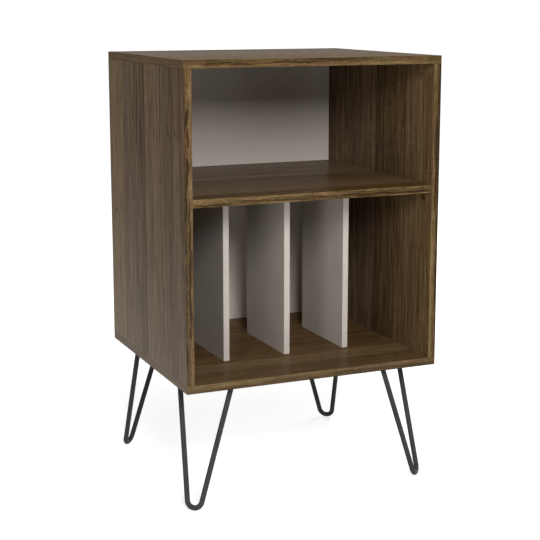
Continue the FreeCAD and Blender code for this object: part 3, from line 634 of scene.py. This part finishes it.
def strip_tone(finish, look, share):
    """The tone of each strip, with dark joints between them and painted shade along the rear edge."""
    tones = [strip.tone for strip in look.strips]
    stops = grey_stops(look.strips, tones, with_joints=True)
    # Painted shade: the tone falls to a dark line along the board's rear edge, in front of the back
    # panel.
    painted_shade_start = (CASE_DEPTH - BACK_PANEL - PAINTED_REAR_EDGE_SHADE) / CASE_DEPTH
    stops += [(painted_shade_start, tones[-1]), (painted_shade_start + PAINTED_REAR_EDGE_SHADE_FADE, PAINTED_REAR_EDGE_SHADE_TONE)]
    return finish.ramp(share, stops)


def add_marks(finish, tone, grain, seed):
    """Adds growth lines, streaks in patches, pores, and chatter across the grain elsewhere.

    Gives the tone, and the pores for the relief.
    """
    # Growth lines follow the contours of a slow, long field.
    field = finish.noise(grain, GROWTH_LINES, roughness=0.45, seed=seed)
    lines = finish.maths("SINE", finish.maths("MULTIPLY", field, GROWTH_LINE_ANGLE))
    lines = finish.spread(lines, 0.1, 1.0)
    tone = finish.maths("MULTIPLY_ADD", lines, GROWTH_LINE_TONE, tone)
    streaks = finish.noise(grain, STREAKS, detail=2.0, roughness=0.6, seed=seed)
    patches = finish.noise(grain, PATCHES, seed=seed)
    streaks = finish.maths(
        "MULTIPLY", finish.spread(streaks, 0.56, 0.68), finish.spread(patches, 0.42, 0.58)
    )
    tone = finish.maths("MULTIPLY_ADD", streaks, STREAK_TONE, tone)
    pores = finish.spread(finish.noise(grain, PORES, seed=seed), 0.60, 0.72)
    tone = finish.maths("MULTIPLY_ADD", pores, PORE_TONE, tone)
    chatter = finish.maths("SUBTRACT", finish.noise(grain, CHATTER, seed=seed), 0.5)
    between = finish.spread(patches, 0.58, 0.42, 0, CHATTER_TONE)
    return finish.maths("MULTIPLY_ADD", chatter, between, tone), pores


def add_knot(finish, tone, grain_axis, knot):
    """Darkens a small slanting oval, most in its core and less towards its rim."""
    along = finish.maths("SUBTRACT", finish.at[grain_axis], knot.along)
    across = finish.maths("SUBTRACT", finish.at["y"], FRONT + knot.from_front)
    across = finish.maths("MULTIPLY_ADD", along, KNOT_SLANT, across)
    oval = finish.join(
        finish.maths("DIVIDE", along, knot.length), finish.maths("DIVIDE", across, knot.width)
    )
    dark = finish.spread(finish.length(oval), 0.25, 1.0, KNOT_TONE, 0.0)
    return finish.maths("ADD", tone, dark)


def wood_print(name, look, settings, pale):
    """Printed foil: veneer strips of straight-grained walnut tones, with pores and pin knots."""
    finish = Finish(name)
    from_front = finish.maths("SUBTRACT", finish.at["y"], FRONT)
    share = finish.maths("DIVIDE", from_front, CASE_DEPTH)
    seed = strip_seed(finish, look, share)
    grain = wavering_grain(finish, look, from_front)
    tone = strip_tone(finish, look, share)
    tone, layers = figure(finish, grain, seed, tone, FIGURE)
    tone, pores = add_marks(finish, tone, grain, seed)
    for knot in look.knots:
        tone = add_knot(finish, tone, look.grain, knot)
    tone = sharpen(finish, tone, look.contrast)

    colour = print_colour(finish, tone, settings)
    warmth = finish.ramp(share, grey_stops(look.strips, [s.warmth for s in look.strips]))
    hue = finish.spread(finish.noise(grain, HUE_DRIFT, seed=seed), 0.35, 0.65, 0.509, 0.491)
    colour = finish.tint(colour, hue, warmth)
    # Painted sheen: a pale veil that grows towards the foot and on lighter tones, in place of the
    # foil's gloss.
    if look.painted_sheen:
        painted_sheen = painted_sheen_toward_foot(finish, look.painted_sheen)
        painted_sheen = finish.maths("ADD", painted_sheen, finish.spread(tone, 0.2, 0.8, 0, 0.18))
        colour = finish.mix(painted_sheen, colour, settings.painted_sheen)
    rear = finish.spread(finish.faces["y"], 0.6, 0.8)
    colour = finish.mix(rear, colour, chipboard(finish, pale))

    height = finish.maths("MULTIPLY_ADD", layers[2], 0.35, finish.maths("MULTIPLY", pores, -1.0))
    finish.relief(height, settings.relief, 0.6)
    rough = finish.spread(layers[1], 0.3, 0.7, settings.roughness + 0.05, settings.roughness - 0.05)
    return finish.surface(
        Base_Color=colour, Roughness=rough, Specular_IOR_Level=settings.gloss * look.gloss
    )


def long_axes(low, high):
    """An edge band's axes: along it, across its visible face, and through it."""
    sizes = {axis: getattr(high, axis) - getattr(low, axis) for axis in AXES}
    return sorted(AXES, key=sizes.get, reverse=True)


def add_streak(finish, tone, along, across, streak):
    """Darkens a line that may slant across the band and that fades at both ends."""
    middle = finish.spread(along, streak.start, streak.end, streak.from_edge, streak.to_edge)
    off = finish.maths("ABSOLUTE", finish.maths("SUBTRACT", across, middle))
    core = finish.spread(off, 0.25 * streak.width, streak.width, streak.depth, 0)
    fade = min(0.02, (streak.end - streak.start) / 4)
    ends = finish.ramp(along, (
        (max(0, streak.start - fade), 0), (streak.start + fade, 1),
        (streak.end - fade, 1), (min(1, streak.end + fade), 0),
    ))
    return finish.maths("SUBTRACT", tone, finish.maths("MULTIPLY", core, ends))


def edge_print(name, node, look, settings):
    """Printed edging: fine lengthwise lines, pale and golden, with dark broken streaks."""
    finish = Finish(name)
    low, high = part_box(node)
    along, across, through = long_axes(low, high)
    share_across = finish.spread(finish.at[across], getattr(low, across), getattr(high, across))
    share_along = finish.spread(finish.at[along], getattr(low, along), getattr(high, along))
    grain = finish.join(finish.at[across], finish.at[along], finish.at[through])
    wander = finish.noise(grain, EDGING_WANDER, detail=3.0, roughness=0.6, seed=look.seed)
    wander = finish.spread(wander, 0.25, 0.75, -0.16, 0.16)
    wandering = finish.maths("ADD", share_across, wander)

    tone = finish.ramp(share_across, look.across)
    drift = finish.ramp(share_along, look.along, "EASE")
    tone = finish.maths("ADD", tone, finish.maths("SUBTRACT", drift, 0.5))
    tone, layers = figure(finish, grain, look.seed, tone, EDGING_FIGURE)
    for streak in look.streaks:
        tone = add_streak(finish, tone, share_along, wandering, streak)
    flecks = finish.noise(grain, EDGING_FLECKS, seed=look.seed + 5)
    tone = finish.maths("SUBTRACT", tone, FLECK_TONE / 2)
    tone = finish.maths("MULTIPLY_ADD", flecks, FLECK_TONE, tone)
    tone = sharpen(finish, tone, look.contrast)

    colours = (settings.dark, settings.brown, settings.golden, settings.pale)
    colour = finish.ramp(tone, zip(EDGING_TONES, colours))
    hue = finish.noise(grain, EDGING_HUE_DRIFT, detail=2.0, seed=look.seed + 9)
    colour = finish.tint(colour, finish.spread(hue, 0.35, 0.65, 0.488, 0.509))
    # Painted sheen near the foot, in place of the edging's gloss.
    if look.painted_sheen:
        colour = finish.mix(painted_sheen_toward_foot(finish, look.painted_sheen), colour, settings.painted_sheen)
    finish.relief(layers[1], 0.00005, 0.5)
    return finish.surface(
        Base_Color=colour, Roughness=settings.roughness, Specular_IOR_Level=settings.gloss
    )


def end_band_print(name, node, look, settings, roughness):
    """The edging on the ends of the top and bottom boards, in the print's own tones."""
    finish = Finish(name)
    low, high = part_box(node)
    grain = finish.join(finish.at["z"], finish.at["y"], finish.at["x"])
    tone, layers = figure(finish, grain, look.seed, END_TONE, END_FIGURE)
    specks = finish.spread(finish.noise(grain, END_SPECKS), 0.60, 0.72)
    tone = finish.maths("MULTIPLY_ADD", specks, END_SPECK_TONE, tone)
    # Painted shade along the band's top and bottom edges, where the gaps at its rounded edges fall
    # into shade.
    off_middle = finish.maths("ABSOLUTE", finish.spread(finish.at["z"], low.z, high.z, -1, 1))
    seam = finish.spread(off_middle, 0.76, 0.90)
    tone = finish.maths("MULTIPLY_ADD", seam, -look.seam, tone)
    # Painted sheen, even over the whole band.
    colour = finish.mix(look.painted_sheen, print_colour(finish, tone, settings), settings.painted_sheen)
    finish.relief(layers[1], 0.00005, 0.5)
    return finish.surface(
        Base_Color=colour, Roughness=roughness, Specular_IOR_Level=settings.gloss
    )


def melamine(name, base, roughness, seed):
    """Pale melamine: an even colour with faint clouds and a fine pebbled surface."""
    finish = Finish(name)
    clouds = finish.noise(finish.place, (0.05, 0.05, 0.07), detail=3.0, roughness=0.6, seed=seed)
    speckle = finish.noise(finish.place, (0.0012,) * 3, detail=2.0, roughness=0.6, seed=seed)
    tone = finish.maths("MULTIPLY_ADD", speckle, 0.35, clouds)
    stops = ((0.40, shade(base, 0.93)), (0.68, base), (0.95, shade(base, 1.06)))
    colour = finish.ramp(tone, stops)
    finish.relief(speckle, 0.00004, 0.6)
    gloss = finish.spread(clouds, 0.3, 0.7, roughness - 0.04, roughness + 0.04)
    return finish.surface(Base_Color=colour, Roughness=gloss, Specular_IOR_Level=0.35)


def back_sheet(name, settings):
    """A thin fibre sheet: painted in front, bare and brown behind and on its edges."""
    finish = Finish(name)
    sheet, fibre = settings.sheet, settings.fibre
    clouds = finish.noise(finish.place, (0.09, 0.09, 0.12), detail=3.0, roughness=0.6, seed=5.0)
    front = finish.ramp(clouds, ((0.30, shade(sheet, 0.95)), (0.70, shade(sheet, 1.04))))
    fibres = finish.noise(finish.place, (0.0016, 0.0016, 0.0011), detail=4.0, roughness=0.7, seed=2.0)
    mottle = finish.noise(finish.place, (0.012, 0.012, 0.010), detail=3.0, roughness=0.6, seed=8.0)
    tone = finish.maths("MULTIPLY_ADD", fibres, 0.8, finish.maths("MULTIPLY", mottle, 0.5))
    stops = ((0.40, shade(fibre, 0.45)), (0.64, fibre), (0.92, shade(fibre, 1.35)))
    rear = finish.ramp(tone, stops)
    painted = finish.spread(finish.faces["y"], -0.6, -0.9)
    edge = finish.spread(finish.maths("ABSOLUTE", finish.faces["y"]), 0.4, 0.6)
    bare = finish.mix(edge, shade(fibre, 0.16), rear)
    colour = finish.mix(painted, bare, front)
    finish.relief(fibres, 0.00012, 0.35)
    gloss = finish.spread(painted, 0.0, 1.0, 0.82, 0.55)
    return finish.surface(Base_Color=colour, Roughness=gloss, Specular_IOR_Level=0.3)


def powder_coat(name, settings):
    """Charcoal powder coat: a fine orange peel with scattered matt specks."""
    finish = Finish(name)
    coat, rough = settings.coat, settings.coat_roughness
    peel = finish.noise(finish.place, (0.0011,) * 3, detail=2.0, roughness=0.55, seed=1.0)
    specks = finish.noise(finish.place, (0.0004,) * 3, detail=1.0, roughness=0.5, seed=4.0)
    clouds = finish.noise(finish.place, (0.03, 0.03, 0.05), detail=2.0, roughness=0.5, seed=9.0)
    tone = finish.maths("MULTIPLY_ADD", specks, 0.6, finish.maths("MULTIPLY", clouds, 0.4))
    colour = finish.ramp(tone, ((0.35, shade(coat, 0.75)), (0.50, coat), (0.66, shade(coat, 1.3))))
    finish.relief(peel, settings.coat_relief, 0.8)
    gloss = finish.spread(specks, 0.35, 0.65, rough - 0.05, rough + 0.07)
    return finish.surface(Base_Color=colour, Roughness=gloss, Specular_IOR_Level=0.06)


def zinc_plate(name, settings):
    """Bright zinc plating, with fine tumbling marks and a slight warm tarnish."""
    finish = Finish(name)
    marks = finish.noise(finish.place, (0.0004, 0.0004, 0.0016), detail=3.0, roughness=0.6, seed=3.0)
    tarnish = finish.noise(finish.place, (0.004,) * 3, detail=3.0, roughness=0.6, seed=6.0)
    warm = tuple(c * left for c, left in zip(settings.zinc, TARNISH))
    colour = finish.ramp(tarnish, ((0.38, settings.zinc), (0.70, warm)))
    rough = settings.zinc_roughness
    gloss = finish.spread(marks, 0.3, 0.7, rough - 0.10, rough + 0.14)
    finish.relief(marks, 0.00002, 0.5)
    return finish.surface(Base_Color=colour, Metallic=1.0, Roughness=gloss)


def moulded_cap(name, settings):
    """Moulded plastic in the print's mean brown, with a fine spark-eroded texture."""
    finish = Finish(name)
    grit = finish.noise(finish.place, (0.0005,) * 3, detail=2.0, roughness=0.6, seed=2.0)
    base = tuple((brown + middle) / 2 for brown, middle in zip(settings.brown, settings.middle))
    colour = finish.ramp(grit, ((0.35, base), (0.65, shade(base, 1.15))))
    finish.relief(grit, 0.00003, 0.6)
    return finish.surface(Base_Color=colour, Roughness=0.5, Specular_IOR_Level=0.1)


def beech(name):
    """Pale pinkish beech with short brown flecks, as on a turned dowel."""
    finish = Finish(name)
    flecks = finish.noise(finish.place, (0.0006, 0.0006, 0.0035), detail=2.0, roughness=0.6, seed=3.0)
    rings = finish.noise(finish.place, (0.003, 0.003, 0.03), detail=2.0, roughness=0.5, seed=1.0)
    tone = finish.maths("MULTIPLY_ADD", flecks, 0.6, finish.maths("MULTIPLY", rings, 0.4))
    colour = finish.ramp(tone, (
        (0.34, swatch(150, 112, 76)), (0.50, swatch(206, 172, 132)), (0.70, swatch(222, 192, 154)),
    ))
    finish.relief(flecks, 0.00005, 0.6)
    return finish.surface(Base_Color=colour, Roughness=0.62, Specular_IOR_Level=0.3)


def dress(node, material):
    """Gives a CAD node its finish."""
    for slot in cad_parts[node].material_slots:
        slot.material = material


# ---------------------------------------------------------------------------------------
# Operators
# ---------------------------------------------------------------------------------------


class STAND_OT_boards(bpy.types.Operator):
    """Lay the wood print on the case boards and the shelf"""

    bl_idname = "stand.boards"
    bl_label = "Case Boards"
    bl_options = {"REGISTER", "UNDO"}

    def execute(self, context):
        scene = context.scene
        for board, look in PRINTS.items():
            material = wood_print(f"{board}_print", look, scene.stand_print, scene.stand_pale)
            dress(board, material)
        return {"FINISHED"}


class STAND_OT_edge_bands(bpy.types.Operator):
    """Lay the printed edging on the front edges and on the ends of the top and bottom boards"""

    bl_idname = "stand.edge_bands"
    bl_label = "Edge Bands"
    bl_options = {"REGISTER", "UNDO"}

    def execute(self, context):
        scene = context.scene
        for band, look in BANDS.items():
            dress(band, edge_print(f"{band}_print", band, look, scene.stand_edging))
        rough = scene.stand_edging.roughness
        for band, look in END_BANDS.items():
            dress(band, end_band_print(f"{band}_print", band, look, scene.stand_print, rough))
        return {"FINISHED"}


class STAND_OT_dividers(bpy.types.Operator):
    """Finish the three dividers in pale melamine with lighter edging"""

    bl_idname = "stand.dividers"
    bl_label = "Dividers"
    bl_options = {"REGISTER", "UNDO"}

    def execute(self, context):
        pale = context.scene.stand_pale
        for index, side in enumerate(("left", "middle", "right")):
            board = melamine(f"{side}_divider_melamine", pale.board, pale.roughness, 2.0 * index)
            edging = melamine(
                f"{side}_divider_edging", pale.edging, pale.edging_roughness, 9.0 + index
            )
            dress(f"{side}_divider", board)
            dress(f"{side}_divider_edge_bands", edging)
        return {"FINISHED"}


class STAND_OT_back_panel(bpy.types.Operator):
    """Finish the back panel, painted in front and bare behind"""

    bl_idname = "stand.back_panel"
    bl_label = "Back Panel"
    bl_options = {"REGISTER", "UNDO"}

    def execute(self, context):
        dress("back_panel", back_sheet("back_panel_sheet", context.scene.stand_pale))
        return {"FINISHED"}


CORNERS = ("front_left", "front_right", "back_right", "back_left")


class STAND_OT_legs(bpy.types.Operator):
    """Powder coat the four hairpin legs and their plates"""

    bl_idname = "stand.legs"
    bl_label = "Hairpin Legs"
    bl_options = {"REGISTER", "UNDO"}

    def execute(self, context):
        coat = powder_coat("leg_powder_coat", context.scene.stand_metal)
        for corner in CORNERS:
            dress(f"{corner}_leg", coat)
            dress(f"{corner}_leg_plate", coat)
        return {"FINISHED"}


class STAND_OT_weld_beads(bpy.types.Operator):
    """Model a rippled weld bead where each rod end meets its plate"""

    bl_idname = "stand.weld_beads"
    bl_label = "Weld Beads"
    bl_options = {"REGISTER", "UNDO"}

    def execute(self, context):
        weld = context.scene.stand_weld
        first = model_weld_bead(weld)
        shape = first.data
        shape.materials.append(bpy.data.materials["leg_powder_coat"])
        for corner in CORNERS:
            low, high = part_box(f"{corner}_leg_plate")
            middle = (low + high) / 2
            # The rod's two ends lie either side of the diagonal that points out to the corner.
            across = Vector((math.copysign(1, -middle.y), math.copysign(1, middle.x), 0))
            across.normalize()
            for number, side in enumerate((-1, 1), 1):
                place = middle + side * weld.spread / 2 * across
                place.z = low.z - weld.throat
                mesh = shape.copy()
                mesh.transform(Matrix.Translation(place))
                bead = bpy.data.objects.new(f"{corner}_leg_weld_{number}", mesh)
                context.collection.objects.link(bead)
                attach(bead, "root")
        bpy.data.objects.remove(first)
        bpy.data.meshes.remove(shape)
        return {"FINISHED"}


STEPS_TO_A_RIPPLE = 4  # segments of the bead's ring


def model_weld_bead(weld):
    """A ring of weld metal at the origin, with evenly spaced ripples."""
    bpy.ops.object.select_all(action="DESELECT")
    ring = weld.rod / 2 + weld.throat
    steps = STEPS_TO_A_RIPPLE * weld.ripples
    bpy.ops.mesh.primitive_torus_add(
        major_radius=ring, minor_radius=weld.bead / 2, major_segments=steps, minor_segments=12
    )
    bead = bpy.context.object
    bead.name = "weld_bead"
    bpy.ops.object.mode_set(mode="EDIT")
    mesh = bmesh.from_edit_mesh(bead.data)
    step = 2 * math.pi / steps
    for ripple in range(weld.ripples):
        turn = ripple * STEPS_TO_A_RIPPLE * step
        centre = Vector((ring * math.cos(turn), ring * math.sin(turn), 0))
        for vertex in mesh.verts:
            angle = math.atan2(vertex.co.y, vertex.co.x) - turn
            vertex.select = abs(math.remainder(angle, 2 * math.pi)) < step / 2
        mesh.select_flush_mode()
        bmesh.update_edit_mesh(bead.data)
        bpy.ops.transform.resize(value=(1 + weld.ripple_height,) * 3, center_override=centre)
    bpy.ops.mesh.select_all(action="SELECT")
    bpy.ops.mesh.normals_make_consistent(inside=False)
    bpy.ops.object.mode_set(mode="OBJECT")
    bpy.ops.object.shade_smooth()
    return bead


class STAND_OT_fittings(bpy.types.Operator):
    """Finish the screws, cam fittings, nails, caps and dowels"""

    bl_idname = "stand.fittings"
    bl_label = "Fittings"
    bl_options = {"REGISTER", "UNDO"}

    def execute(self, context):
        scene = context.scene
        zinc = zinc_plate("zinc_plate", scene.stand_metal)
        cap = moulded_cap("cap_plastic", scene.stand_print)
        wood = beech("beech_dowel")
        finishes = {
            "_screws": zinc, "_bolts": zinc, "_locks": zinc, "_nails": zinc,
            "_covers": cap, "_dowels": wood,
        }
        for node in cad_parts:
            for ending, material in finishes.items():
                if node.endswith(ending):
                    dress(node, material)
        return {"FINISHED"}


# Each lamp's place, and the width and height of its face, in metres.
LAMPS = {
    "key": ((-0.65, -2.85, 1.81), (0.8, 0.95)),
    "top": ((0.0, -0.4, 3.0), (2.4, 2.0)),
    "side": ((-2.5, -2.1, 0.6), (1.0, 0.5)),
    "fill": ((1.6, -2.4, 0.65), (1.0, 0.8)),
    "back": ((2.5, 2.0, 1.6), (1.6, 1.2)),
}

FLOOR_PAINT = swatch(232, 232, 230)
FLOOR_GAP = 0.0002  # under the feet, in metres
FLOOR_FADE = (0.5, 1.6)  # from the origin, in metres: the floor turns white between these
FLOOR_GLOW = 0.68  # near the stand, where the floor is seen directly; it lights nothing
CAMERA_REACH = 200.0  # in metres, past the far side of the floor


class STAND_OT_stage(bpy.types.Operator):
    """Set up the pale floor, the soft lamps and the camera"""

    bl_idname = "stand.stage"
    bl_label = "Stage"
    bl_options = {"REGISTER", "UNDO"}

    def execute(self, context):
        stage = context.scene.stand_stage
        add_floor(stage)
        add_world(context.scene, stage)
        middle = Vector((0, 0, (CASE_BOTTOM + CASE_TOP) / 2))
        for name, (place, size) in LAMPS.items():
            add_lamp(f"{name}_lamp", place, middle, size, getattr(stage, f"{name}_power"))
        add_camera(context.scene, stage)
        context.scene.view_settings.view_transform = "Standard"
        return {"FINISHED"}


def seen_directly(nodes, links):
    """1 for what the camera sees, straight or in gloss and glass, and 0 for the light it gives."""
    path = nodes.new("ShaderNodeLightPath")
    seen = path.outputs["Is Camera Ray"]
    for kind in ("Is Glossy Ray", "Is Transmission Ray"):
        either = nodes.new("ShaderNodeMath")
        either.operation = "MAXIMUM"
        links.new(seen, either.inputs[0])
        links.new(path.outputs[kind], either.inputs[1])
        seen = either.outputs[0]
    return seen


def add_world(scene, stage):
    """White where it is seen, and dimmer as a light."""
    world = bpy.data.worlds.new("white_room")
    world.use_nodes = True
    scene.world = world
    nodes, links = world.node_tree.nodes, world.node_tree.links
    strength = nodes.new("ShaderNodeMapRange")
    strength.inputs["To Min"].default_value = stage.ambient
    strength.inputs["To Max"].default_value = 1.0
    links.new(seen_directly(nodes, links), strength.inputs["Value"])
    nodes["Background"].inputs["Color"].default_value = (1, 1, 1, 1)
    links.new(strength.outputs[0], nodes["Background"].inputs["Strength"])


def add_floor(stage):
    """A plain pale floor that fades to the white of the room and keeps the shadow of the stand."""
    bpy.ops.object.select_all(action="DESELECT")
    bpy.ops.mesh.primitive_plane_add(size=stage.floor_size, location=(0, 0, -FLOOR_GAP))
    floor = bpy.context.object
    floor.name = "floor"
    bpy.ops.object.transform_apply(location=True, rotation=True, scale=True)
    finish = Finish("floor_white")
    nodes, links = finish.nodes, finish.links
    nodes.remove(finish.shader)
    glow = finish.spread(finish.length(finish.place), *FLOOR_FADE, FLOOR_GLOW, 1.0)
    glow = finish.maths("MULTIPLY", glow, seen_directly(nodes, links))
    paint = finish.add("ShaderNodeBsdfDiffuse", {"Color": (*FLOOR_PAINT, 1)})
    light = finish.add("ShaderNodeEmission", {"Strength": glow})
    both = finish.add("ShaderNodeAddShader", {0: paint.outputs[0], 1: light.outputs[0]})
    links.new(both.outputs[0], nodes["Material Output"].inputs["Surface"])
    floor.data.materials.append(finish.material)


def add_lamp(name, place, target, size, power):
    """A soft rectangular lamp that points at the target."""
    light = bpy.data.lights.new(name, "AREA")
    light.shape = "RECTANGLE"
    light.size, light.size_y = size
    light.energy = power
    lamp = bpy.data.objects.new(name, light)
    bpy.context.collection.objects.link(lamp)
    lamp.location = place
    lamp.rotation_euler = (target - Vector(place)).to_track_quat("-Z", "Y").to_euler()


def add_camera(scene, stage):
    """A long lens, a little above the case and to the left of it."""
    lens = bpy.data.cameras.new("camera")
    lens.lens = stage.camera_lens
    lens.shift_y = stage.camera_rise
    lens.clip_end = CAMERA_REACH
    camera = bpy.data.objects.new("camera", lens)
    scene.collection.objects.link(camera)
    camera.location = stage.camera_place
    camera.rotation_euler = (math.pi / 2 + stage.camera_tilt, 0, -stage.camera_turn)
    scene.camera = camera


OPERATORS = (
    STAND_OT_boards,
    STAND_OT_edge_bands,
    STAND_OT_dividers,
    STAND_OT_back_panel,
    STAND_OT_legs,
    STAND_OT_weld_beads,
    STAND_OT_fittings,
    STAND_OT_stage,
)


class STAND_PT_panel(bpy.types.Panel):
    """Lists the stand's settings and the steps that finish it"""

    bl_label = "Record Storage Stand"
    bl_space_type = "VIEW_3D"
    bl_region_type = "UI"
    bl_category = "Record Stand"

    def draw(self, context):
        for name in SETTINGS:
            group = getattr(context.scene, name)
            box = self.layout.box()
            box.label(text=name.replace("stand_", "").title())
            for key in group.bl_rna.properties.keys():
                if key not in ("rna_type", "name"):
                    box.prop(group, key)
        for operator in OPERATORS:
            self.layout.operator(operator.bl_idname)


CLASSES = (*SETTINGS.values(), *OPERATORS, STAND_PT_panel)


def register():
    for cls in CLASSES:
        bpy.utils.register_class(cls)
    for name, group in SETTINGS.items():
        setattr(bpy.types.Scene, name, PointerProperty(type=group))


def unregister():
    for name in SETTINGS:
        delattr(bpy.types.Scene, name)
    for cls in reversed(CLASSES):
        bpy.utils.unregister_class(cls)


def main():
    register()
    for operator in OPERATORS:
        group, step = operator.bl_idname.split(".")
        getattr(getattr(bpy.ops, group), step)()


if __name__ == "__main__":
    main()
